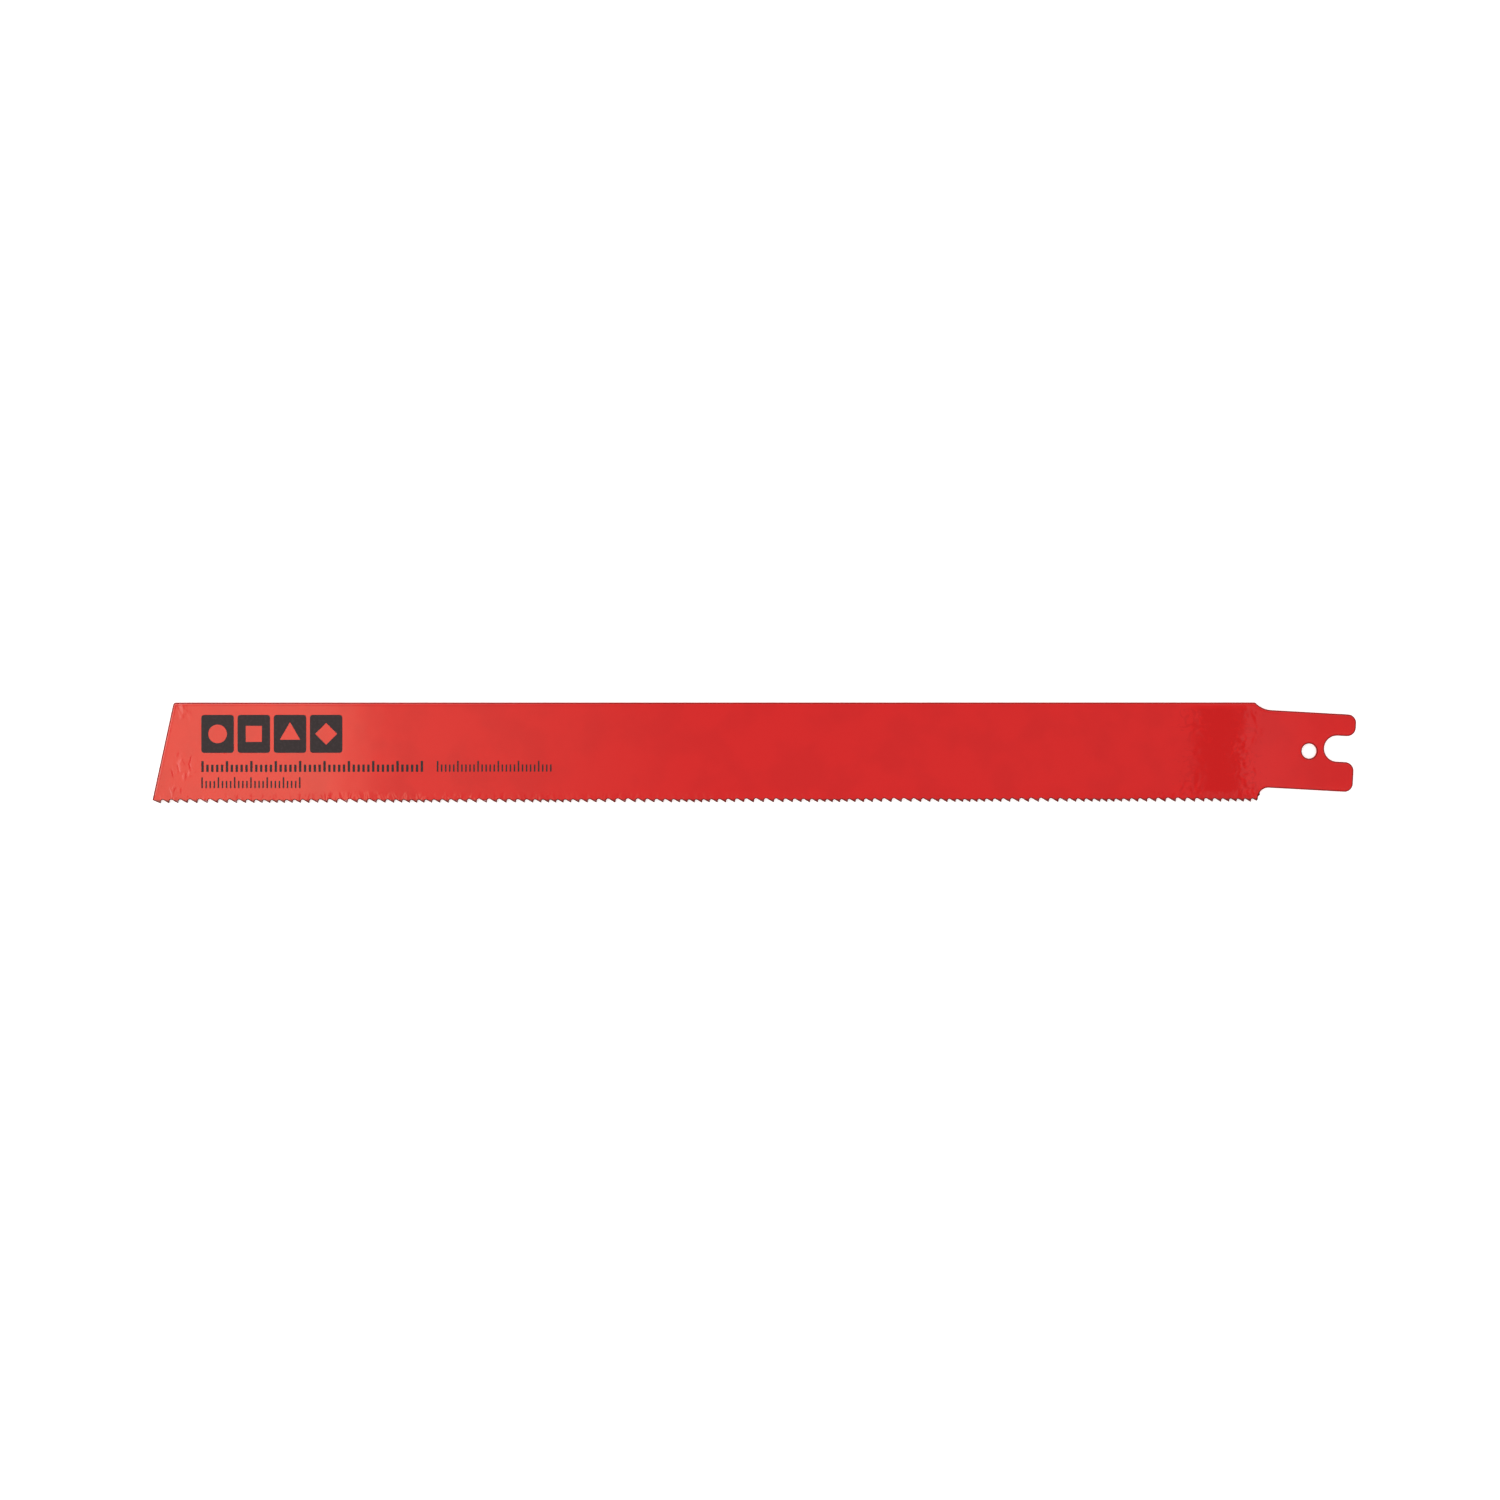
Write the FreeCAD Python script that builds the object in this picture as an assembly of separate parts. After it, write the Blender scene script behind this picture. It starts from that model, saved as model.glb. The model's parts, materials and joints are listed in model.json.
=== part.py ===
import FreeCAD, Part
import math
import os

from FreeCAD import Vector

# A saw blade for a reciprocating pipe saw, lying on its side.
# It is one flat plate: a toothed edge, a straight back edge, a slanted tip and,
# at the other end, a forked tang that drops into the saw's clamp.
#
# Frame: the origin is the centre of the tang's locating hole, half way through
# the plate. +X follows the back edge towards the open end of the tang, +Y goes
# from the teeth to the back edge, and +Z out of the upper face.
# Lengths are in millimetres and angles in degrees.

# Whole plate
OVERALL_LENGTH = 300.0  # tip corner to the far side of the prongs, along X
BLADE_WIDTH = 24.9  # tooth points to the back edge
BACK_HEIGHT = 12.2  # locating hole to the back edge
THICKNESS = 1.25

# Tip
TIP_LEAN = 12.2  # the end edge leans this far from square to the back edge
TIP_TOP_RADIUS = 0.7  # round between the end edge and the back edge
TIP_RAMP_LENGTH = 2.0  # tip corner to the first tooth point, along X
TIP_RAMP_RISE = 0.85  # how far the tip corner stands back from the tooth points

# Tang, in its own directions: ahead towards the prong ends, across to the back
TANG_WIDTH = 19.45
TANG_CANT = 3.2  # the tang droops towards the teeth by this angle
HOLE_DIAMETER = 3.75
SLOT_WIDTH = 6.5
SLOT_AHEAD = 7.0  # locating hole to the centre of the slot's round end
SLOT_ACROSS = 1.0  # slot's centre line off the tang's centre line
SLOT_STRAIGHT = 4.5  # centre of the slot's round end to the prong ends
PRONG_OUTER_RADIUS = 2.1
PRONG_INNER_RADIUS = 2.2

# Neck, where the tang runs into the wider plate
SHOULDER_SETBACK = 10.1  # locating hole to the foot of the shoulder, on the tang
SHOULDER_RADIUS = 6.1
HEEL_SETBACK = 12.95  # locating hole to the end of the toothed edge, along X
HEEL_RADIUS = 2.65
HEEL_NOSE_RADIUS = 1.0  # round at the end of the toothed edge

# Teeth: the pitch shrinks and grows by equal steps, in waves along the edge
FINE_PITCH = 1.8
COARSE_PITCH = 2.5
WAVE_TEETH = 16  # a wave has two coarsest and two finest pitches
WAVE_START = 5  # the tooth that opens a wave, counted from the tip, as 0 is first
DEPTH_PER_PITCH = 0.42  # every tooth keeps the same shape at its own pitch
GULLET_RADIUS_PER_PITCH = 0.2
FACE_LEAN = 10.0  # the cutting face leans this far from square to the edge
SET_ANGLE = 22.0  # how far the crown of a set tooth is bent out of the plate
CROWN_SHARE = 0.6  # the crown's share of the tooth's depth

# Stock that the cuts take away
STOCK_MARGIN = 2.0  # what the strip has to spare below the points and past the fork
CUT_REACH = 2 * BLADE_WIDTH  # how far the cuts run out of the metal

POINT_LEVEL = BACK_HEIGHT - BLADE_WIDTH
PRONG_END = SLOT_AHEAD + SLOT_STRAIGHT
HEEL_X = -HEEL_SETBACK


def on_tang(ahead, across):
    """A point given in the tang's own directions, from the locating hole."""
    cant = math.radians(TANG_CANT)
    return Vector(
        ahead * math.cos(cant) + across * math.sin(cant),
        across * math.cos(cant) - ahead * math.sin(cant),
        0,
    )


def around(centre, radius, angle):
    """The point on a circle at an angle in degrees from +X."""
    turn = math.radians(angle)
    return centre + Vector(radius * math.cos(turn), radius * math.sin(turn), 0)


def polygon(corners):
    """A flat face with straight sides, from its corners and a radius for each."""
    starts, ends, edges = [], [], []
    for index, (corner, radius) in enumerate(corners):
        if not radius:
            starts.append(corner)
            ends.append(corner)
            continue
        back = (corners[index - 1][0] - corner).normalize()
        ahead = (corners[(index + 1) % len(corners)][0] - corner).normalize()
        half = back.getAngle(ahead) / 2
        reach = radius / math.tan(half)
        inwards = (back + ahead).normalize()
        middle = corner + inwards * (radius / math.sin(half) - radius)
        starts.append(corner + back * reach)
        ends.append(corner + ahead * reach)
        edges.append(Part.Arc(starts[-1], middle, ends[-1]).toShape())
    for start, end in zip(ends, starts[1:] + starts[:1]):
        if not start.isEqual(end, Part.Precision.confusion()):
            edges.append(Part.makeLine(start, end))
    return Part.Face(Part.Wire(Part.__sortEdges__(edges)))


def rectangle(left, right, low, high):
    """A flat face with its sides along X and Y."""
    return polygon([
        (Vector(left, low, 0), 0),
        (Vector(right, low, 0), 0),
        (Vector(right, high, 0), 0),
        (Vector(left, high, 0), 0),
    ])


def disc(centre, radius):
    """A flat round face."""
    circle = Part.Circle(centre, Vector(0, 0, 1), radius)
    return Part.Face(Part.Wire(circle.toShape()))


def right_end():
    """The greatest X on the tang, on the round of one of its outer corners."""
    ahead = PRONG_END - PRONG_OUTER_RADIUS
    across = TANG_WIDTH / 2 - PRONG_OUTER_RADIUS
    furthest = max(on_tang(ahead, across).x, on_tang(ahead, -across).x)
    return furthest + PRONG_OUTER_RADIUS


def strip():
    """The strip of stock, with the slanted end and room for the teeth and the fork."""
    lean = math.tan(math.radians(TIP_LEAN))
    tip_x = right_end() - OVERALL_LENGTH
    tip_level = POINT_LEVEL + TIP_RAMP_RISE
    left_low = tip_x - (STOCK_MARGIN + TIP_RAMP_RISE) * lean
    left_high = tip_x + (BACK_HEIGHT - tip_level) * lean
    right = right_end() + STOCK_MARGIN
    low = POINT_LEVEL - STOCK_MARGIN
    return polygon([
        (Vector(left_low, low, 0), 0),
        (Vector(right, low, 0), 0),
        (Vector(right, BACK_HEIGHT, 0), 0),
        (Vector(left_high, BACK_HEIGHT, 0), TIP_TOP_RADIUS),
    ])


def shoulder_cut():
    """What is cut away above the tang, in an arc down from the back edge."""
    side = TANG_WIDTH / 2
    behind = -SHOULDER_SETBACK - SHOULDER_RADIUS
    return polygon([
        (on_tang(behind, side), SHOULDER_RADIUS),
        (on_tang(CUT_REACH, side), 0),
        (on_tang(CUT_REACH, side + CUT_REACH), 0),
        (on_tang(behind, side + CUT_REACH), 0),
    ])


def heel_cut():
    """What is cut away under the tang, up to the end of the toothed edge."""
    cant = math.radians(TANG_CANT)
    side = -TANG_WIDTH / 2
    corner_ahead = (HEEL_X - side * math.sin(cant)) / math.cos(cant)
    low = POINT_LEVEL - CUT_REACH
    return polygon([
        (on_tang(corner_ahead, side), HEEL_RADIUS),
        (Vector(HEEL_X, low, 0), 0),
        (Vector(CUT_REACH, low, 0), 0),
        (on_tang(CUT_REACH, side), 0),
    ])


def nose_cut():
    """What is cut away to round the end of the toothed edge, at the heel."""
    centre = Vector(HEEL_X - HEEL_NOSE_RADIUS, POINT_LEVEL + HEEL_NOSE_RADIUS, 0)
    corner = rectangle(centre.x, CUT_REACH, POINT_LEVEL - CUT_REACH, centre.y)
    return corner.cut(disc(centre, HEEL_NOSE_RADIUS))


def prong_radii(height):
    """A prong's outer and inner corner radius, as far as its height has room."""
    room = min(1.0, height / (PRONG_OUTER_RADIUS + PRONG_INNER_RADIUS))
    return PRONG_OUTER_RADIUS * room, PRONG_INNER_RADIUS * room


def fork_cut():
    """What is cut away round the end of the tang and inside its slot."""
    side = TANG_WIDTH / 2
    slot_radius = SLOT_WIDTH / 2
    slot_top = SLOT_ACROSS + slot_radius
    slot_bottom = SLOT_ACROSS - slot_radius
    slot_end = SLOT_AHEAD - slot_radius
    upper_outer, upper_inner = prong_radii(side - slot_top)
    lower_outer, lower_inner = prong_radii(side + slot_bottom)
    tang = polygon([
        (on_tang(0, -side), 0),
        (on_tang(PRONG_END, -side), lower_outer),
        (on_tang(PRONG_END, slot_bottom), lower_inner),
        (on_tang(slot_end, slot_bottom), slot_radius),
        (on_tang(slot_end, slot_top), slot_radius),
        (on_tang(PRONG_END, slot_top), upper_inner),
        (on_tang(PRONG_END, side), upper_outer),
        (on_tang(0, side), 0),
    ])
    all_round = polygon([
        (on_tang(0, -CUT_REACH), 0),
        (on_tang(CUT_REACH, -CUT_REACH), 0),
        (on_tang(CUT_REACH, CUT_REACH), 0),
        (on_tang(0, CUT_REACH), 0),
    ])
    return all_round.cut(tang)


def wave_place(index):
    """A tooth's place in its wave, from 0."""
    return (index - WAVE_START) % WAVE_TEETH


def pitch_after(index):
    """The distance from one tooth's point to the next one's."""
    place = wave_place(index)
    steps = min(place, WAVE_TEETH - 1 - place)
    step = (COARSE_PITCH - FINE_PITCH) / (WAVE_TEETH / 2 - 1)
    return COARSE_PITCH - steps * step


def set_side(index):
    """Which face a tooth is bent to: 1 is up, -1 is down and 0 stays straight.

    The order is up, down, straight, with one more straight tooth in each wave,
    next to its finest pitch.
    """
    place = wave_place(index)
    if place > WAVE_TEETH // 2:
        place -= 1
    return (1, -1, 0)[place % 3]


class Tooth:
    """One tooth, with the gullet between its point and the next one's."""

    def __init__(self, index, point):
        pitch = pitch_after(index)
        depth = DEPTH_PER_PITCH * pitch
        radius = GULLET_RADIUS_PER_PITCH * pitch
        lean = math.radians(FACE_LEAN)
        rise = depth - radius
        run = (radius + rise * math.sin(lean)) / math.cos(lean)
        self.side = set_side(index)
        self.point = point
        self.next_point = point + Vector(pitch, 0, 0)
        self.bend_level = point.y + depth * CROWN_SHARE
        self.gullet = point + Vector(run, rise, 0)
        reach = self.next_point - self.gullet
        back_slope = math.atan2(-reach.y, reach.x) + math.asin(radius / reach.Length)
        face_angle = 180.0 - FACE_LEAN
        back_angle = 90.0 - math.degrees(back_slope)
        self.face_end = around(self.gullet, radius, face_angle)
        self.bottom = around(self.gullet, radius, (face_angle + back_angle) / 2)
        self.back_start = around(self.gullet, radius, back_angle)

    def edges(self):
        """The cutting face, the round of the gullet and the next tooth's back."""
        return [
            Part.makeLine(self.point, self.face_end),
            Part.Arc(self.face_end, self.bottom, self.back_start).toShape(),
            Part.makeLine(self.back_start, self.next_point),
        ]


def teeth_to_heel():
    """The teeth from the tip to the first whose point would lie past the heel."""
    first_x = right_end() - OVERALL_LENGTH + TIP_RAMP_LENGTH
    teeth = [Tooth(0, Vector(first_x, POINT_LEVEL, 0))]
    while teeth[-1].point.x < HEEL_X:
        teeth.append(Tooth(len(teeth), teeth[-1].next_point))
    return teeth


def teeth_cut(teeth):
    """What is cut away below the tip's ramp, the teeth and their gullets."""
    ramp = Vector(TIP_RAMP_LENGTH, -TIP_RAMP_RISE, 0).normalize()
    start = teeth[0].point - ramp * CUT_REACH
    end = teeth[-1].next_point
    low = POINT_LEVEL - CUT_REACH
    edges = [Part.makeLine(start, teeth[0].point)]
    for tooth in teeth:
        edges += tooth.edges()
    edges.append(Part.makeLine(end, Vector(end.x, low, 0)))
    edges.append(Part.makeLine(Vector(end.x, low, 0), Vector(start.x, low, 0)))
    edges.append(Part.makeLine(Vector(start.x, low, 0), start))
    return Part.Face(Part.Wire(edges))


def plate_face(teeth):
    """The plate's flat face, with every tooth still straight."""
    hole = disc(Vector(), HOLE_DIAMETER / 2)
    cuts = [shoulder_cut(), heel_cut(), nose_cut(), fork_cut(), hole, teeth_cut(teeth)]
    return strip().cut(cuts)


def crown_window(before, tooth):
    """A flat face over a tooth's crown, from its bend line to past its point."""
    low = POINT_LEVEL - STOCK_MARGIN
    return rectangle(before.gullet.x, tooth.gullet.x, low, tooth.bend_level)


def bent_crown(crown, set_teeth):
    """The solid crown of a set tooth, from its flat face."""
    tooth = min(set_teeth, key=lambda tooth: abs(tooth.point.x - crown.CenterOfMass.x))
    bend_line = Vector(0, tooth.bend_level, 0)
    crown.rotate(bend_line, Vector(1, 0, 0), -tooth.side * SET_ANGLE)
    return crown.extrude(Vector(0, 0, THICKNESS))


def blade():
    """The whole blade as one solid, with the crowns of its set teeth bent."""
    teeth = teeth_to_heel()
    face = plate_face(teeth)
    set_teeth, windows = [], []
    for before, tooth in zip(teeth, teeth[1:]):
        if tooth.side and tooth.gullet.x < HEEL_X:
            set_teeth.append(tooth)
            windows.append(crown_window(before, tooth))
    crowns = face.common(Part.makeCompound(windows)).Faces
    flat = face.cut(windows).extrude(Vector(0, 0, THICKNESS)).removeSplitter()
    whole = flat.fuse([bent_crown(crown, set_teeth) for crown in crowns])
    whole.translate(Vector(0, 0, -THICKNESS / 2))
    return whole.Solids[0]


def main():
    os.makedirs("parts", exist_ok=True)
    blade().exportStep("parts/blade.step")


main()
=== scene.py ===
"""Finish of a lacquered saw blade with a forked tang: rounded edges, lacquer, ink marks and studio."""

import json
import math

import bpy
from bpy.props import FloatProperty, FloatVectorProperty, IntProperty, PointerProperty
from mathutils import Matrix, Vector


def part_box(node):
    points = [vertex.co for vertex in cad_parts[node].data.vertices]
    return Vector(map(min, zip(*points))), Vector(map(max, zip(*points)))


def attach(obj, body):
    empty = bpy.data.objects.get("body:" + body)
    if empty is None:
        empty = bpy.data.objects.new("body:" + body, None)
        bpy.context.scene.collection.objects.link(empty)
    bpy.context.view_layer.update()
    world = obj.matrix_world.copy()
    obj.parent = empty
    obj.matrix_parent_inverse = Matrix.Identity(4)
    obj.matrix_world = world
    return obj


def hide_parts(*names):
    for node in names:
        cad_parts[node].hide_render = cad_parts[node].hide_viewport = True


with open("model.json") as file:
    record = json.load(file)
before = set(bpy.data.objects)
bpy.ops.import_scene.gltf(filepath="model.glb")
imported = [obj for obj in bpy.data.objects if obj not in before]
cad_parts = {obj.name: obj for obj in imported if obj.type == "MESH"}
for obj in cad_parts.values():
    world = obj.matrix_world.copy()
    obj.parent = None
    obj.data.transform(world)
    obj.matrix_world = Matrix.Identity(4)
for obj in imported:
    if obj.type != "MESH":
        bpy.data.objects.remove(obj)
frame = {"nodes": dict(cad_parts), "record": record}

bl_info = {
    "name": "Saw Blade Finish",
    "version": (1, 0, 0),
    "blender": (4, 5, 0),
    "location": "3D View > Sidebar > Saw Blade",
    "description": "Rounds and lacquers the blade, prints its marks and sets up a white studio",
    "category": "Object",
}

BODY = "root"
NODE = "blade"
MM = 0.001

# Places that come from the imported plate: its origin is the locating hole, half way through.
LOWEST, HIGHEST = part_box(NODE)
BACK_EDGE = HIGHEST.y
TIP = LOWEST.x
POINT_LEVEL = LOWEST.y
MOUNTS = {mount["name"]: mount for mount in frame["record"]["mounts"]}
PLATE_LEVEL = MOUNTS["tang_upper_face"]["pos_m"][2]

# The blade's two materials, in the order of its slots.
LACQUER_COAT = 0
# The second is painted shade: dark brown over the rounded edges.
EDGE_SHADE_COAT = 1

# A face counts as broad, not as a wall, where its normal leans this much towards Z.
BROAD = 0.6
FLAT = 0.99999
SAME_PLACE = 0.01 * MM
SAME_PLANE = math.radians(0.5)
# The outline is one straight piece this far up and down from where the bead ends.
CLEAR = 0.45 * MM
# Points of the bead's inner line that come this near each other at a corner are made one.
CORNER = 0.25 * MM
# Above the teeth the bead's crest stays level with the plate for this many of its outer slope's widths.
CREST_END = 1.5
SMOOTH_EDGES = math.radians(35)
SMOOTH_CORNERS = math.radians(30)

# Where the lacquer changes, from none to full: along the blade from the locating hole, or across it.
# Painted light: the red is made lighter towards the tip.
TIP_PAINTED_LIGHT = (TIP + 110 * MM, TIP + 30 * MM)
# Painted shade: the red is deepened in broken patches at the neck.
NECK_PAINTED_SHADE = ((-31 * MM, -28 * MM), (-15 * MM, -17 * MM))
BACK_EDGE_PLAIN = (BACK_EDGE - 1.2 * MM, BACK_EDGE - 1.9 * MM)
# Painted shade: brown over the teeth's points, which are also duller.
POINTS_SHADED_AND_DULL = (POINT_LEVEL + 1.1 * MM, POINT_LEVEL + 0.5 * MM)
POINTS_WRINKLED = (POINT_LEVEL + 3.2 * MM, POINT_LEVEL + 1.6 * MM)
NECK_RIPPLED = ((-50 * MM, -36 * MM), (-5 * MM, -12 * MM))
WAVY = (-100 * MM, -200 * MM)
# How far the borders of the painted shade, a deeper red at the neck, are broken up along the blade.
NECK_SHADE_SPREAD = 30 * MM
# Parts of the noise over which clouds and patches grow from none to full.
CLOUDY = (0.4, 0.65)
PATCHY = (0.44, 0.6)
GRAINY = (0.45, 0.75)
# Full strengths: of the clouds, of the painted shade (brown) and the dullness at the points, of the
# wrinkles there.
CLOUD_SHARE = 0.6
POINT_SHADE = 0.9
POINT_DULLNESS = 0.15
POINT_WRINKLES = 0.55

# Middles and reaches of the spots near the tip where the lacquer is wrinkled, and their even part.
WRINKLED_SPOTS = (
    ((-281.6 * MM, 9.4 * MM, PLATE_LEVEL), 4.2 * MM),
    ((-280.6 * MM, -3.3 * MM, PLATE_LEVEL), 5.0 * MM),
    ((-282.8 * MM, -10.0 * MM, PLATE_LEVEL), 2.6 * MM),
)
SPOT_CORE = 0.4
# The wrinkles' noise is narrowed along the blade, drawn out across it, and moved to where it suits.
WRINKLE_STRETCH = (1.7, 0.8, 1.0)
WRINKLE_SHIFT = (0.052, 0.124, 0.0)
# Heights of the unevenness that the gloss shows.
PEEL_HEIGHT = 0.006 * MM
WRINKLE_HEIGHT = 0.14 * MM
RIPPLE_HEIGHT = 0.013 * MM
WAVE_HEIGHT = 0.05 * MM
GRAIN_HEIGHT = 0.003 * MM
# How much paler than the rest the ink is where it lies thin.
PALER_INK = 1.4

# Holes of the four tiles: corners, size across and turn. They make a round, a square, a triangle
# and a diamond.
TILE_HOLES = (
    (32, 4.6 * MM, 0.0),
    (4, 5.6 * MM, math.radians(45)),
    (3, 5.8 * MM, 0.0),
    (4, 5.4 * MM, 0.0),
)
TILE_CORNER = 0.7 * MM
# Scales: distance from the marks' left end, row, length, pitch, tick width, ticks from tall to tall.
TICK_SCALES = (
    (0.0, 0, 54 * MM, 1.2 * MM, 0.6 * MM, 5),
    (58 * MM, 0, 28 * MM, 1.0 * MM, 0.38 * MM, 5),
    (0.0, 1, 24 * MM, 1.0 * MM, 0.38 * MM, 4),
)
SHORT_TICK = 1.8 * MM
TALL_TICK = 2.7 * MM
TICK_CORNER = 0.1 * MM
TILES_TO_ROWS = 2.0 * MM
ROW_STEP = 4.0 * MM
CORNER_STEPS = 4

# Floor, lights and boards, in metres from the locating hole.
FLOOR_SIZE = (8.0, 8.0)
FLOOR_WHITE = (0.88, 0.88, 0.88, 1.0)
PANEL_SIZE = (1.4, 0.6)
PANEL_PLACE = (0, 0, 1.0)
SIDE_LIGHT_SIZE = (1.4, 0.9)
SIDE_LIGHT_PLACE = (0, 0.61, 0.98)
RING_RADIUS = 1.6
RING_HEIGHT = 1.3
RING_MIDDLE = 0.66
RING_SIDES = 48
BOARD_BLACK = (0.01, 0.01, 0.01, 1.0)
# Where the overhead panel changes, from none to full: along the blade, or across it.
WARM_EDGE = (-0.236, -0.272)
WARM_TAIL = (-0.07, -0.27)
WARM_ACROSS = (-0.12, -0.05)
FAR_END = (-0.37, -0.46)
NECK_GAP = ((0.128, 0.131), (0.154, 0.152))
PAST_GAP = ((0.151, 0.154), (0.20, 0.155))
# Its strengths.
WARM_LIGHT = (1.0, 0.78, 0.52, 1.0)
WARM_EDGE_GLOW = 1.55
WARM_TAIL_GLOW = 0.85
WARM_LEAST = 0.45
FAR_END_GLOW = 1.6
PLAIN_GLOW = 0.42
GAP_DEPTH = 0.55
PAST_GAP_RISE = 0.5
# The side light's two bands across it, their strengths, and how it falls off along the blade.
NEAR_BAND = (0.42, 0.36)
FAR_BAND = (0.60, 0.68)
NEAR_BAND_GLOW = 3.0
FAR_BAND_GLOW = 9.0
SIDE_RISE = (-0.05, -0.28)
SIDE_LEAST = 0.25


class LacquerSettings(bpy.types.PropertyGroup):
    """Sizes and colours of the lacquered plate."""

    edge_radius: FloatProperty(
        name="Edge radius",
        description="Rounding of the plate's long edges under the lacquer",
        default=0.27 * MM,
        min=0.0,
        precision=5,
        unit="LENGTH",
    )
    tooth_radius: FloatProperty(
        name="Tooth edge radius",
        description="Rounding of the teeth's edges",
        default=0.07 * MM,
        min=0.0,
        precision=5,
        unit="LENGTH",
    )
    rounding_steps: IntProperty(
        name="Rounding steps",
        description="Faces across each rounded edge",
        default=4,
        min=2,
        max=8,
    )
    tooth_band: FloatProperty(
        name="Tooth band",
        description="Height above the points in which an edge belongs to the teeth",
        default=1.25 * MM,
        min=0.0,
        precision=5,
        unit="LENGTH",
    )
    last_point: FloatProperty(
        name="Last point",
        description="Height in which the last tooth's point, at the heel, lies above the others",
        default=0.3 * MM,
        min=0.0,
        precision=5,
        unit="LENGTH",
    )
    bead_start: FloatProperty(
        name="Bead start",
        description="Height above the points at which the lacquer's bead along the edges ends",
        default=1.92 * MM,
        min=0.0,
        precision=5,
        unit="LENGTH",
    )
    bead_outer: FloatProperty(
        name="Bead's outer slope",
        description="Width of the bead's slope next to the rounded edge",
        default=0.35 * MM,
        min=0.0,
        precision=5,
        unit="LENGTH",
    )
    bead_inner: FloatProperty(
        name="Bead's inner slope",
        description="Width of the bead's slope towards the middle of the plate",
        default=0.22 * MM,
        min=0.0,
        precision=5,
        unit="LENGTH",
    )
    bead_height: FloatProperty(
        name="Bead height",
        description="How far the lacquer stands up along the edges",
        default=0.034 * MM,
        min=0.0,
        precision=5,
        unit="LENGTH",
    )
    # Painted shade: width of the dark ring along the teeth's outline.
    tooth_shade_line: FloatProperty(
        name="Tooth line",
        description="Width of the dark line that thin lacquer leaves along the teeth",
        default=0.14 * MM,
        min=0.0,
        precision=5,
        unit="LENGTH",
    )
    red: FloatVectorProperty(
        name="Red",
        description="Lacquer over the broad faces",
        default=(0.592, 0.0095, 0.0090),
        min=0.0,
        max=1.0,
        size=3,
        subtype="COLOR",
    )
    # Deep red of the darker clouds, and painted shade at the neck.
    deep_red_and_shade: FloatVectorProperty(
        name="Deep red",
        description="Lacquer where it lies thicker",
        default=(0.531, 0.0080, 0.0080),
        min=0.0,
        max=1.0,
        size=3,
        subtype="COLOR",
    )
    # Painted light: a lighter red towards the tip.
    painted_light_tip_red: FloatVectorProperty(
        name="Tip red",
        description="Lacquer towards the tip, a shade lighter",
        default=(0.622, 0.0105, 0.0100),
        min=0.0,
        max=1.0,
        size=3,
        subtype="COLOR",
    )
    # Painted shade: dark brown for the rounded edges and the teeth's points.
    edge_shade_brown: FloatVectorProperty(
        name="Edge brown",
        description="Lacquer drawn thin over the dark steel of the edges",
        default=(0.115, 0.012, 0.010),
        min=0.0,
        max=1.0,
        size=3,
        subtype="COLOR",
    )
    roughness: FloatProperty(
        name="Gloss roughness",
        description="Roughness of the lacquer's gloss",
        default=0.035,
        min=0.0,
        max=1.0,
        subtype="FACTOR",
    )


class PrintSettings(bpy.types.PropertyGroup):
    """Sizes and colour of the ink marks."""

    left: FloatProperty(
        name="Left end",
        description="Distance of the marks from the tip corner",
        default=12.0 * MM,
        precision=5,
        unit="LENGTH",
    )
    tile_top: FloatProperty(
        name="Tile top",
        description="Distance of the tiles' top from the back edge",
        default=3.05 * MM,
        precision=5,
        unit="LENGTH",
    )
    tile_width: FloatProperty(
        name="Tile width",
        description="Width of each of the four tiles",
        default=8.0 * MM,
        precision=5,
        unit="LENGTH",
    )
    tile_height: FloatProperty(
        name="Tile height",
        description="Height of each of the four tiles",
        default=9.4 * MM,
        precision=5,
        unit="LENGTH",
    )
    tile_gap: FloatProperty(
        name="Tile gap",
        description="Gap between tiles",
        default=0.9 * MM,
        precision=5,
        unit="LENGTH",
    )
    film: FloatProperty(
        name="Ink film",
        description="How far the ink stands on the lacquer",
        default=0.015 * MM,
        precision=6,
        unit="LENGTH",
    )
    ink: FloatVectorProperty(
        name="Ink",
        description="Colour of the printing ink",
        default=(0.0232, 0.0158, 0.0182),
        min=0.0,
        max=1.0,
        size=3,
        subtype="COLOR",
    )


class StudioSettings(bpy.types.PropertyGroup):
    """Camera, floor and light."""

    distance: FloatProperty(
        name="Camera distance",
        description="From the lens to the middle of the picture",
        default=1.2,
        unit="LENGTH",
    )
    lean: FloatProperty(
        name="Camera lean",
        description="Angle by which the camera stands towards the tip, off the plate's normal",
        default=math.radians(3.74),
        subtype="ANGLE",
    )
    roll: FloatProperty(
        name="Camera roll",
        description="How far the picture's horizon is turned",
        default=math.radians(0.045),
        subtype="ANGLE",
    )
    frame_width: FloatProperty(
        name="Picture width",
        description="Width of the picture, measured on the plate",
        default=373.7 * MM,
        precision=4,
        unit="LENGTH",
    )
    middle_x: FloatProperty(
        name="Middle along the blade",
        description="Where the middle of the picture falls along the blade, from the locating hole",
        default=-140.4 * MM,
        precision=4,
        unit="LENGTH",
    )
    middle_y: FloatProperty(
        name="Middle across the blade",
        description="Where the middle of the picture falls across the blade, from the locating hole",
        default=0.438 * MM,
        precision=5,
        unit="LENGTH",
    )
    sky: FloatProperty(
        name="White tent",
        description="Strength of the white tent all round",
        default=1.07,
        min=0.0,
    )
    floor_lift: FloatProperty(
        name="Floor lift",
        description="White added to the floor where the camera sees it",
        default=0.5,
        min=0.0,
    )


def settings(name):
    """One of the add-on's groups of values, as the scene holds it."""
    return getattr(bpy.context.scene, name)


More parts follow.
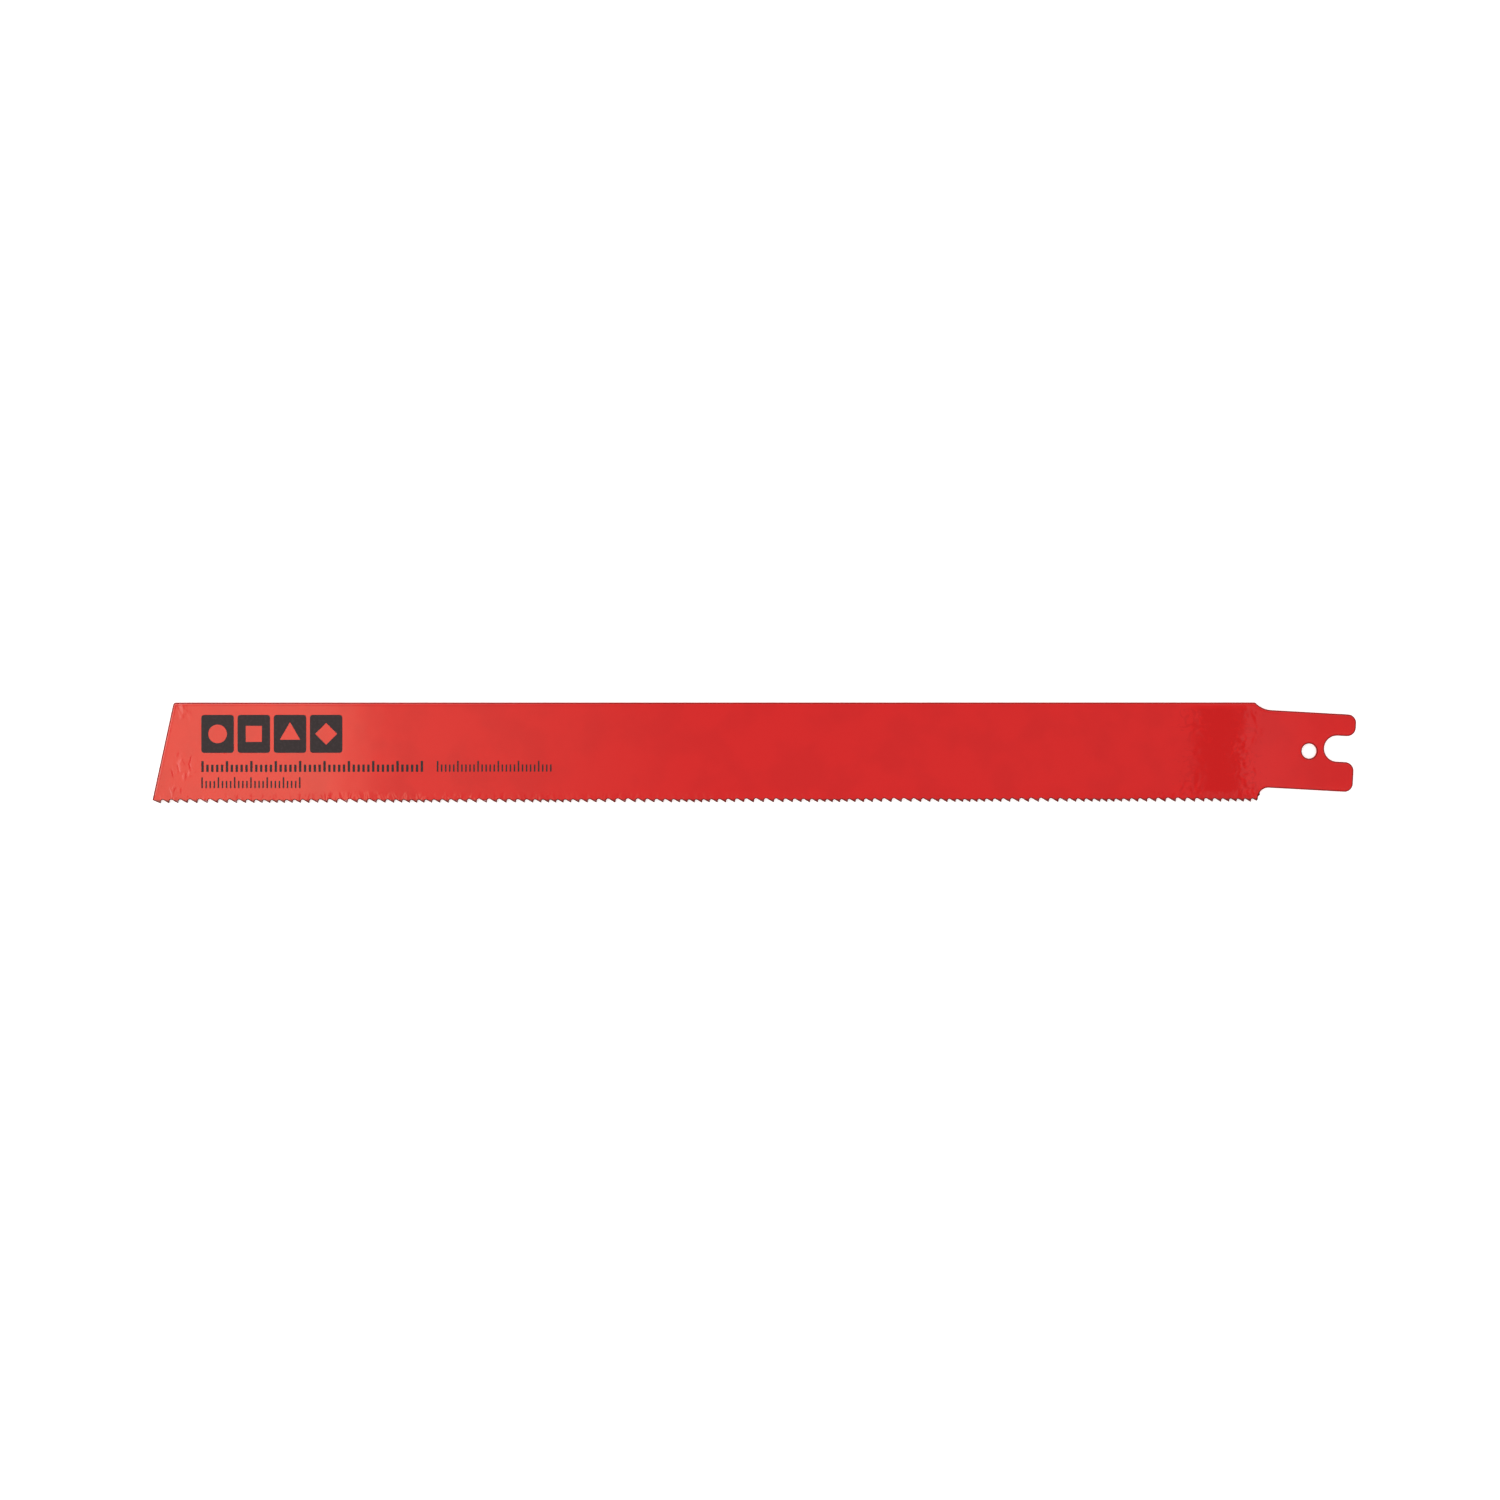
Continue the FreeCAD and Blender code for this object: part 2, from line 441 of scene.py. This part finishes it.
def start_clean():
    """Object mode with nothing selected."""
    if bpy.context.object and bpy.context.object.mode != "OBJECT":
        bpy.ops.object.mode_set(mode="OBJECT")
    bpy.ops.object.select_all(action="DESELECT")


def make_active(piece):
    """Only this piece is selected and active."""
    start_clean()
    bpy.context.view_layer.objects.active = piece
    piece.select_set(True)


def pick_faces(mesh, wanted):
    """Selects the faces that wanted(face) picks, and nothing else."""
    bpy.context.tool_settings.mesh_select_mode = (False, False, True)
    mesh.vertices.foreach_set("select", [False] * len(mesh.vertices))
    mesh.edges.foreach_set("select", [False] * len(mesh.edges))
    mesh.polygons.foreach_set("select", [wanted(face) for face in mesh.polygons])


def pick_edges(mesh, wanted):
    """Selects the edges that wanted(one end, other end) picks, and nothing else."""
    bpy.context.tool_settings.mesh_select_mode = (False, True, False)
    mesh.vertices.foreach_set("select", [False] * len(mesh.vertices))
    mesh.polygons.foreach_set("select", [False] * len(mesh.polygons))
    for edge in mesh.edges:
        edge.select = wanted(*(mesh.vertices[i].co for i in edge.vertices))


def is_upright(one, other):
    """True for an edge that runs straight through the plate or the ink, from its two ends."""
    return (one - other).xy.length < SAME_PLACE


def in_edit_mode(step, **values):
    """Runs one of the mesh operators in edit mode on what is selected."""
    bpy.ops.object.mode_set(mode="EDIT")
    step(**values)
    bpy.ops.object.mode_set(mode="OBJECT")


def apply_modifier(piece, kind, name, **values):
    """Adds a modifier with these values and applies it."""
    make_active(piece)
    modifier = piece.modifiers.new(name, kind)
    for key, value in values.items():
        setattr(modifier, key, value)
    bpy.ops.object.modifier_apply(modifier=name)


class Tree:
    """A material's or world's node tree, with short ways to add and join nodes."""

    def __init__(self, owner):
        owner.use_nodes = True
        self.tree = owner.node_tree
        self.tree.nodes.clear()

    def add(self, kind, inputs=None, **values):
        """Adds a node and sets its values, and its inputs to a value or another node's output."""
        node = self.tree.nodes.new(kind)
        for key, value in values.items():
            setattr(node, key, value)
        for key, value in (inputs or {}).items():
            if isinstance(value, bpy.types.NodeSocket):
                self.tree.links.new(value, node.inputs[key])
            else:
                node.inputs[key].default_value = value
        return node

    def places(self):
        """The piece's own coordinates: all three, those along the blade and those across it."""
        place = self.add("ShaderNodeTexCoord").outputs["Object"]
        axes = self.add("ShaderNodeSeparateXYZ", {"Vector": place})
        return place, axes.outputs["X"], axes.outputs["Y"]

    def math(self, operation, first, second):
        """A Math node's result."""
        return self.add("ShaderNodeMath", {0: first, 1: second}, operation=operation).outputs[0]

    def total(self, first, *others):
        """All of these added up."""
        for other in others:
            first = self.math("ADD", first, other)
        return first

    def product(self, first, *others):
        """All of these multiplied."""
        for other in others:
            first = self.math("MULTIPLY", first, other)
        return first

    def slide(self, start, end, share):
        """Goes from the start to the end value as the share goes from 0 to 1."""
        return self.total(start, self.product(share, end - start))

    def ramp(self, value, low, high):
        """0 where value is at low, 1 where it is at high, and smooth between them."""
        inputs = {"Value": value, "From Min": low, "From Max": high}
        node = self.add("ShaderNodeMapRange", inputs, interpolation_type="SMOOTHSTEP")
        return node.outputs["Result"]

    def between(self, value, rise, fall):
        """1 between two ramps and 0 outside them."""
        return self.product(self.ramp(value, *rise), self.ramp(value, *fall))

    def blend(self, share, first, second):
        """Goes from the first colour to the second as the share goes from 0 to 1."""
        node = self.add("ShaderNodeMix", {0: share}, data_type="RGBA")
        for socket, value in ((node.inputs[6], first), (node.inputs[7], second)):
            if isinstance(value, bpy.types.NodeSocket):
                self.tree.links.new(value, socket)
            else:
                socket.default_value = (*value, 1.0)
        return node.outputs[2]

    def noise(self, place, bumps, detail=1.0, distortion=0.0):
        """Smooth noise from 0 to 1, with this many bumps to the metre."""
        inputs = {"Vector": place, "Scale": bumps, "Detail": detail, "Distortion": distortion}
        return self.add("ShaderNodeTexNoise", inputs).outputs["Fac"]

    def swing(self, place, bumps, detail=1.0, distortion=0.0):
        """The same noise, as much below 0 as above it."""
        return self.math("SUBTRACT", self.noise(place, bumps, detail, distortion), 0.5)

    def bump(self, height):
        """A surface that stands up by this height."""
        inputs = {"Strength": 1.0, "Distance": 1.0, "Height": height}
        return self.add("ShaderNodeBump", inputs).outputs["Normal"]

    def finish(self, shader, kind="ShaderNodeOutputMaterial"):
        """Joins the shader to the output."""
        self.add(kind, {"Surface": shader})


def lacquer_colour(tree, look):
    """Red with darker clouds, paler towards the tip by painted light, and deeper in broken patches at
    the neck by painted shade.
    """
    place, along, across = tree.places()
    clouds = tree.ramp(tree.noise(place, bumps=90.0, detail=3.0), *CLOUDY)
    streaks = tree.swing(place, bumps=420.0, detail=2.0, distortion=2.0)
    broken = tree.total(along, tree.product(streaks, NECK_SHADE_SPREAD))
    # Painted shade: deeper red in broken patches at the neck.
    neck = tree.product(tree.between(broken, *NECK_PAINTED_SHADE), tree.ramp(across, *BACK_EDGE_PLAIN))
    # Painted light: paler red towards the tip.
    colour = tree.blend(tree.ramp(along, *TIP_PAINTED_LIGHT), look.red, look.painted_light_tip_red)
    colour = tree.blend(tree.product(clouds, CLOUD_SHARE), colour, look.deep_red_and_shade)
    return tree.blend(neck, colour, look.deep_red_and_shade)


def lacquer_height(tree):
    """Orange peel all over, wrinkles at tip and teeth, ripples at the neck and waves to the tip."""
    place, along, across = tree.places()
    peel = tree.product(tree.noise(place, bumps=200.0), PEEL_HEIGHT)

    spots = tree.product(tree.ramp(across, *POINTS_WRINKLED), POINT_WRINKLES)
    for middle, reach in WRINKLED_SPOTS:
        off = tree.add("ShaderNodeVectorMath", {0: place, 1: middle}, operation="DISTANCE")
        spots = tree.math("MAXIMUM", spots, tree.ramp(off.outputs["Value"], reach, SPOT_CORE * reach))
    drawn_out = tree.add(
        "ShaderNodeVectorMath",
        {0: place, 1: WRINKLE_STRETCH, 2: WRINKLE_SHIFT},
        operation="MULTIPLY_ADD",
    )
    wrinkles = tree.swing(drawn_out.outputs["Vector"], bumps=330.0, detail=1.5, distortion=0.9)
    wrinkles = tree.product(wrinkles, spots, WRINKLE_HEIGHT)

    patches = tree.ramp(tree.noise(place, bumps=130.0), *PATCHY)
    ripples = tree.swing(place, bumps=380.0, distortion=0.6)
    ripples = tree.product(ripples, tree.between(along, *NECK_RIPPLED), patches, RIPPLE_HEIGHT)

    waves = tree.product(tree.noise(place, bumps=45.0), tree.ramp(along, *WAVY), WAVE_HEIGHT)
    return tree.total(peel, waves, wrinkles, ripples)


def lacquer_material():
    """Glossy red lacquer, browned at the teeth's points by painted shade and duller there, and never
    quite even.
    """
    look = settings("saw_blade_lacquer")
    material = bpy.data.materials.new("red_lacquer")
    tree = Tree(material)
    _, _, across = tree.places()
    points = tree.ramp(across, *POINTS_SHADED_AND_DULL)
    red = lacquer_colour(tree, look)
    inputs = {
        # Painted shade: the teeth's points are browned.
        "Base Color": tree.blend(tree.product(points, POINT_SHADE), red, look.edge_shade_brown),
        "Roughness": tree.total(look.roughness, tree.product(points, POINT_DULLNESS)),
        "Normal": tree.bump(lacquer_height(tree)),
    }
    tree.finish(tree.add("ShaderNodeBsdfPrincipled", inputs).outputs["BSDF"])
    return material


def edge_shade_material():
    """Dark brown without gloss over the rounded edges: painted shade."""
    look = settings("saw_blade_lacquer")
    material = bpy.data.materials.new("painted_edge_shade")
    tree = Tree(material)
    inputs = {"Base Color": (*look.edge_shade_brown, 1.0), "Roughness": 0.6, "Specular IOR Level": 0.0}
    tree.finish(tree.add("ShaderNodeBsdfPrincipled", inputs).outputs["BSDF"])
    return material


def ink_material():
    """Dark printing ink, slightly uneven, with less gloss than the lacquer."""
    look = settings("saw_blade_print")
    material = bpy.data.materials.new("print_ink")
    tree = Tree(material)
    place, _, _ = tree.places()
    grain = tree.noise(place, bumps=1500.0, detail=2.0)
    paler = tuple(min(1.0, PALER_INK * part) for part in look.ink)
    inputs = {
        "Base Color": tree.blend(tree.ramp(grain, *GRAINY), look.ink, paler),
        "Roughness": 0.45,
        "Specular IOR Level": 0.18,
        "Normal": tree.bump(tree.product(grain, GRAIN_HEIGHT)),
    }
    tree.finish(tree.add("ShaderNodeBsdfPrincipled", inputs).outputs["BSDF"])
    return material


def is_broad(face):
    """True for a face of the plate's upper or lower side, set teeth included."""
    return abs(face.normal.z) > BROAD


def weigh_edges(mesh, look):
    """Gives each edge between a broad face and a wall its share of the edge radius."""
    meeting = {}
    for face in mesh.polygons:
        for key in face.edge_keys:
            meeting.setdefault(key, []).append(is_broad(face))
    weights = mesh.attributes.new("bevel_weight_edge", "FLOAT", "EDGE")
    tooth_share = look.tooth_radius / look.edge_radius
    last_level = POINT_LEVEL + look.last_point
    heel = max(vertex.co.x for vertex in mesh.vertices if vertex.co.y < last_level)
    for edge in mesh.edges:
        if sum(meeting[edge.key]) != 1:
            continue
        middle = sum((mesh.vertices[i].co for i in edge.vertices), Vector()) / 2
        in_teeth = middle.y < POINT_LEVEL + look.tooth_band and middle.x < heel
        weights.data[edge.index].value = tooth_share if in_teeth else 1.0


def on_plate(mesh, face):
    """True for a face that lies in the plate's upper or lower plane."""
    return abs(face.normal.z) > FLAT and all(
        abs(abs(mesh.vertices[i].co.z) - PLATE_LEVEL) < SAME_PLACE for i in face.vertices
    )


def divide_plate(piece, start):
    """Leaves three plain faces on each side: the toothed strip, and the rest cut in two at the hole."""
    mesh = piece.data
    pick_faces(mesh, lambda face: True)
    in_edit_mode(bpy.ops.mesh.remove_doubles, threshold=SAME_PLACE)
    pick_faces(mesh, lambda face: not on_plate(mesh, face))
    in_edit_mode(bpy.ops.mesh.dissolve_limited, angle_limit=SAME_PLANE)
    pick_faces(mesh, lambda face: on_plate(mesh, face))
    in_edit_mode(bpy.ops.mesh.bisect, plane_co=(0, start, 0), plane_no=(0, 1, 0))
    pick_faces(mesh, lambda face: on_plate(mesh, face) and face.center.y > start)
    in_edit_mode(bpy.ops.mesh.bisect, plane_co=(0, 0, 0), plane_no=(1, 0, 0))
    regions = (
        lambda place: place.y < start,
        lambda place: place.y > start and place.x < 0,
        lambda place: place.y > start and place.x > 0,
    )
    for inside in regions:
        pick_faces(mesh, lambda face: on_plate(mesh, face) and inside(face.center))
        in_edit_mode(bpy.ops.mesh.dissolve_faces, use_verts=True)
    pick_edges(mesh, lambda one, other: is_upright(one, other) and abs(one.y - start) < CLEAR)
    in_edit_mode(bpy.ops.mesh.dissolve_edges, use_verts=True)


def raise_bead(piece, look, start):
    """Raises a low bead of lacquer along every edge but the toothed one."""
    mesh = piece.data
    pick_faces(mesh, lambda face: on_plate(mesh, face) and face.center.y > start)
    bpy.ops.object.mode_set(mode="EDIT")
    bpy.ops.mesh.inset(thickness=look.bead_outer, depth=look.bead_height)
    bpy.ops.mesh.inset(thickness=look.bead_inner, depth=-look.bead_height)
    bpy.ops.mesh.remove_doubles(threshold=CORNER)
    bpy.ops.object.mode_set(mode="OBJECT")
    crest_end = start + CREST_END * look.bead_outer
    for vertex in mesh.vertices:
        raised = abs(vertex.co.z) > PLATE_LEVEL + look.bead_height / 2
        if raised and start < vertex.co.y < crest_end:
            vertex.co.z = math.copysign(PLATE_LEVEL, vertex.co.z)


def shade_teeth_outline(piece, look, start):
    """Gives a narrow ring of faces along the teeth's outline the painted edge shade.

    The steep part of each rounded edge gets the lacquer, and the strip inside the ring is level.
    """
    mesh = piece.data
    pick_faces(
        mesh,
        lambda face: face.material_index == LACQUER_COAT and is_broad(face) and face.center.y < start,
    )
    in_edit_mode(bpy.ops.mesh.inset, thickness=look.tooth_shade_line, depth=0.0)
    rounded = {
        key for face in mesh.polygons if face.material_index == EDGE_SHADE_COAT for key in face.edge_keys
    }
    for face in mesh.polygons:
        highest = max(mesh.vertices[i].co.y for i in face.vertices)
        if not is_broad(face):
            face.material_index = LACQUER_COAT
        elif highest < POINT_LEVEL + look.tooth_band and rounded.intersection(face.edge_keys):
            face.material_index = EDGE_SHADE_COAT
    for up in (-1, 1):
        side = [face for face in mesh.polygons if face.normal.z * up > BROAD and face.center.y < start]
        strip = max(side, key=lambda face: face.area)
        for index in strip.vertices:
            mesh.vertices[index].co.z = PLATE_LEVEL * up


def shade_blade(piece):
    """Smooth over rounded edges and the bead, flat on the plate."""
    mesh = piece.data
    make_active(piece)
    bpy.ops.object.shade_smooth_by_angle(angle=SMOOTH_EDGES)
    for face in mesh.polygons:
        if on_plate(mesh, face):
            face.use_smooth = False


class OBJECT_OT_saw_blade_lacquer(bpy.types.Operator):
    """Makes the lacquered blade from the frame's plate"""

    bl_idname = "object.saw_blade_lacquer"
    bl_label = "Lacquered blade"
    bl_options = {"REGISTER", "UNDO"}

    def execute(self, context):
        look = settings("saw_blade_lacquer")
        blade = bpy.data.objects.new("lacquered_blade", frame["nodes"][NODE].data.copy())
        context.scene.collection.objects.link(blade)
        mesh = blade.data
        make_active(blade)
        start = POINT_LEVEL + look.bead_start
        divide_plate(blade, start)

        mesh.materials.clear()
        mesh.materials.append(lacquer_material())
        mesh.materials.append(edge_shade_material())
        weigh_edges(mesh, look)
        # The rounded edges get the painted shade.
        apply_modifier(
            blade,
            "BEVEL",
            "rounded_edges",
            limit_method="WEIGHT",
            width=look.edge_radius,
            segments=look.rounding_steps,
            use_clamp_overlap=False,
            material=EDGE_SHADE_COAT,
        )
        raise_bead(blade, look, start)
        shade_teeth_outline(blade, look, start)
        shade_blade(blade)
        if not mesh.polygons:
            raise RuntimeError("the lacquered blade has no faces")
        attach(blade, BODY)
        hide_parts(NODE)
        return {"FINISHED"}


def ink_block(width, height, left, top, corner):
    """A flat block of ink with rounded corners, from its left end and top."""
    look = settings("saw_blade_print")
    start_clean()
    middle = (left + width / 2, top - height / 2, PLATE_LEVEL)
    bpy.ops.mesh.primitive_cube_add(size=1, location=middle)
    bpy.ops.transform.resize(value=(width, height, 2 * look.film))
    bpy.ops.object.transform_apply(location=True, rotation=True, scale=True)
    block = bpy.context.object
    pick_edges(block.data, is_upright)
    in_edit_mode(bpy.ops.mesh.bevel, offset=corner, segments=CORNER_STEPS, affect="EDGES")
    return block


def cut_hole(block, corners, across, x, y, turn):
    """Cuts a hole with this many corners through a block of ink."""
    look = settings("saw_blade_print")
    start_clean()
    bpy.ops.mesh.primitive_cylinder_add(
        vertices=corners,
        radius=across / 2,
        depth=10 * look.film,
        location=(x, y, PLATE_LEVEL),
        rotation=(0, 0, turn),
    )
    cutter = bpy.context.object
    apply_modifier(block, "BOOLEAN", "hole", operation="DIFFERENCE", object=cutter, solver="EXACT")
    bpy.data.objects.remove(cutter)


def print_tiles(look, left, top):
    """A row of tiles, each with a hole of another shape."""
    tiles = []
    for place, (corners, across, turn) in enumerate(TILE_HOLES):
        start = left + place * (look.tile_width + look.tile_gap)
        tile = ink_block(look.tile_width, look.tile_height, start, top, TILE_CORNER)
        middle_x, middle_y = start + look.tile_width / 2, top - look.tile_height / 2
        cut_hole(tile, corners, across, middle_x, middle_y, turn)
        tiles.append(tile)
    return tiles


def print_scale(left, top, length, pitch, width, every):
    """A plain scale of upright ticks, every so many of them tall."""
    ticks = []
    for place in range(int(length / pitch) + 1):
        height = TALL_TICK if place % every == 0 else SHORT_TICK
        drop = TALL_TICK - height
        ticks.append(ink_block(width, height, left + place * pitch, top - drop, TICK_CORNER))
    return ticks


class OBJECT_OT_saw_blade_print(bpy.types.Operator):
    """Prints the ink marks on the upper face"""

    bl_idname = "object.saw_blade_print"
    bl_label = "Ink marks"
    bl_options = {"REGISTER", "UNDO"}

    def execute(self, context):
        look = settings("saw_blade_print")
        left = TIP + look.left
        tile_top = BACK_EDGE - look.tile_top
        rows_top = tile_top - look.tile_height - TILES_TO_ROWS
        marks = print_tiles(look, left, tile_top)
        for from_left, row, length, pitch, width, every in TICK_SCALES:
            top = rows_top - row * ROW_STEP
            marks += print_scale(left + from_left, top, length, pitch, width, every)
        start_clean()
        for mark in marks:
            mark.select_set(True)
        context.view_layer.objects.active = marks[0]
        bpy.ops.object.join()
        print_marks = context.object
        print_marks.name = "print_marks"
        print_marks.data.materials.clear()
        print_marks.data.materials.append(ink_material())
        bpy.ops.object.shade_smooth_by_angle(angle=SMOOTH_CORNERS)
        if not print_marks.data.polygons:
            raise RuntimeError("the ink marks have no faces")
        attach(print_marks, BODY)
        return {"FINISHED"}


def dress_stage(piece, name, fill_tree):
    """Names a piece of the stage and gives it a material of its own."""
    piece.name = name
    material = bpy.data.materials.new(name)
    fill_tree(Tree(material))
    piece.data.materials.append(material)


def show_in_gloss_only(piece):
    """Leaves a piece of the stage out of all but the blade's gloss."""
    piece.visible_camera = False
    piece.visible_diffuse = False
    piece.visible_shadow = False


def add_card(name, size, place, fill_tree):
    """A flat card for the lights and the floor."""
    start_clean()
    bpy.ops.mesh.primitive_plane_add(size=1, location=place)
    bpy.ops.transform.resize(value=(*size, 1))
    bpy.ops.object.transform_apply(location=True, rotation=True, scale=True)
    card = bpy.context.object
    dress_stage(card, name, fill_tree)
    return card


def seen_share(tree):
    """1 for what the camera sees, straight or in gloss or glass, and 0 for light on the pieces."""
    path = tree.add("ShaderNodeLightPath").outputs
    seen = tree.math("MAXIMUM", path["Is Camera Ray"], path["Is Glossy Ray"])
    return tree.math("MAXIMUM", seen, path["Is Transmission Ray"])


def fill_floor(tree):
    """White floor that keeps a shadow and turns fully white for the camera."""
    look = settings("saw_blade_studio")
    strength = tree.product(seen_share(tree), look.floor_lift)
    lift = tree.add("ShaderNodeEmission", {"Strength": strength})
    paint = tree.add("ShaderNodeBsdfDiffuse", {"Color": FLOOR_WHITE})
    both = tree.add("ShaderNodeAddShader", {0: paint.outputs[0], 1: lift.outputs[0]})
    tree.finish(both.outputs[0])


def fill_overhead_panel(tree):
    """Warm and bright over the tip, dim elsewhere, with a dark gap over the neck."""
    _, along, across = tree.places()
    warm = tree.total(
        tree.product(tree.ramp(along, *WARM_EDGE), WARM_EDGE_GLOW),
        tree.product(tree.ramp(along, *WARM_TAIL), WARM_TAIL_GLOW),
    )
    warm = tree.product(warm, tree.slide(WARM_LEAST, 1.0, tree.ramp(across, *WARM_ACROSS)))
    gap = tree.product(tree.between(along, *NECK_GAP), GAP_DEPTH)
    past_gap = tree.product(tree.between(along, *PAST_GAP), PAST_GAP_RISE)
    plain = tree.product(tree.math("SUBTRACT", tree.total(1.0, past_gap), gap), PLAIN_GLOW)
    plain = tree.total(plain, tree.product(tree.ramp(along, *FAR_END), FAR_END_GLOW))
    warm = tree.add("ShaderNodeEmission", {"Color": WARM_LIGHT, "Strength": warm})
    plain = tree.add("ShaderNodeEmission", {"Strength": plain})
    both = tree.add("ShaderNodeAddShader", {0: warm.outputs[0], 1: plain.outputs[0]})
    tree.finish(both.outputs[0])


def fill_side_light(tree):
    """Two bands, brightest towards the tip: the near one for the bead, the far one for set teeth."""
    _, along, across = tree.places()
    bands = tree.total(
        tree.product(tree.ramp(across, *NEAR_BAND), NEAR_BAND_GLOW),
        tree.product(tree.ramp(across, *FAR_BAND), FAR_BAND_GLOW),
    )
    strength = tree.product(bands, tree.slide(SIDE_LEAST, 1.0, tree.ramp(along, *SIDE_RISE)))
    tree.finish(tree.add("ShaderNodeEmission", {"Strength": strength}).outputs[0])


def fill_board(tree):
    """Black board."""
    tree.finish(tree.add("ShaderNodeBsdfDiffuse", {"Color": BOARD_BLACK}).outputs[0])


def add_dark_ring():
    """A ring of black boards round the blade, so that its edges read dark in the gloss."""
    start_clean()
    bpy.ops.mesh.primitive_cylinder_add(
        vertices=RING_SIDES,
        radius=RING_RADIUS,
        depth=RING_HEIGHT,
        location=(TIP / 2, 0, RING_MIDDLE),
        end_fill_type="NOTHING",
    )
    bpy.ops.object.transform_apply(location=True, rotation=True, scale=True)
    ring = bpy.context.object
    show_in_gloss_only(ring)
    dress_stage(ring, "dark_ring", fill_board)


def light_world(look):
    """An even white tent all round, plain white where it is seen."""
    world = bpy.data.worlds.new("white_tent")
    bpy.context.scene.world = world
    tree = Tree(world)
    strength = tree.slide(look.sky, 1.0, seen_share(tree))
    background = tree.add("ShaderNodeBackground", {"Color": (1, 1, 1, 1), "Strength": strength})
    tree.finish(background.outputs[0], "ShaderNodeOutputWorld")


def add_camera(look):
    """The camera looks down on the printed face, a little from the tip's side."""
    start_clean()
    target = Vector((look.middle_x, look.middle_y, PLATE_LEVEL))
    back = Vector((-math.sin(look.lean), 0, math.cos(look.lean)))
    turned = (0, -look.lean, -look.roll)
    bpy.ops.object.camera_add(location=target + back * look.distance, rotation=turned)
    camera = bpy.context.object
    camera.name = "camera"
    lens = camera.data
    lens.sensor_fit = "HORIZONTAL"
    lens.lens = lens.sensor_width * look.distance / (look.frame_width * math.cos(look.lean))
    lens.clip_start = 0.01
    bpy.context.scene.camera = camera


class SCENE_OT_saw_blade_studio(bpy.types.Operator):
    """Sets up the white floor, the lights, the dark ring, the tent and the camera"""

    bl_idname = "scene.saw_blade_studio"
    bl_label = "White studio"
    bl_options = {"REGISTER", "UNDO"}

    def execute(self, context):
        look = settings("saw_blade_studio")
        add_card("floor", FLOOR_SIZE, (TIP / 2, 0, LOWEST.z), fill_floor)
        panel = add_card("overhead_panel", PANEL_SIZE, PANEL_PLACE, fill_overhead_panel)
        panel.visible_camera = False
        side_light = add_card("side_light", SIDE_LIGHT_SIZE, SIDE_LIGHT_PLACE, fill_side_light)
        show_in_gloss_only(side_light)
        add_dark_ring()
        light_world(look)
        add_camera(look)
        context.scene.view_settings.view_transform = "Standard"
        return {"FINISHED"}


class VIEW3D_PT_saw_blade(bpy.types.Panel):
    """Lists the blade's values and steps"""

    bl_label = "Saw Blade"
    bl_idname = "VIEW3D_PT_saw_blade"
    bl_space_type = "VIEW_3D"
    bl_region_type = "UI"
    bl_category = "Saw Blade"

    def draw(self, context):
        for group, operator in STEPS:
            box = self.layout.box()
            values = getattr(context.scene, group)
            for name in values.__annotations__:
                box.prop(values, name)
            box.operator(operator)


STEPS = (
    ("saw_blade_lacquer", "object.saw_blade_lacquer"),
    ("saw_blade_print", "object.saw_blade_print"),
    ("saw_blade_studio", "scene.saw_blade_studio"),
)
GROUPS = {
    "saw_blade_lacquer": LacquerSettings,
    "saw_blade_print": PrintSettings,
    "saw_blade_studio": StudioSettings,
}
CLASSES = (
    *GROUPS.values(),
    OBJECT_OT_saw_blade_lacquer,
    OBJECT_OT_saw_blade_print,
    SCENE_OT_saw_blade_studio,
    VIEW3D_PT_saw_blade,
)


def register():
    """Adds the classes and the scene's groups of values."""
    for item in CLASSES:
        bpy.utils.register_class(item)
    for name, group in GROUPS.items():
        setattr(bpy.types.Scene, name, PointerProperty(type=group))


def unregister():
    """Takes the groups of values and the classes away again."""
    for name in GROUPS:
        delattr(bpy.types.Scene, name)
    for item in reversed(CLASSES):
        bpy.utils.unregister_class(item)


def main():
    """Registers the add-on and makes the pieces and the stage."""
    register()
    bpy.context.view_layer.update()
    bpy.ops.object.saw_blade_lacquer()
    bpy.ops.object.saw_blade_print()
    bpy.ops.scene.saw_blade_studio()


if __name__ == "__main__":
    main()
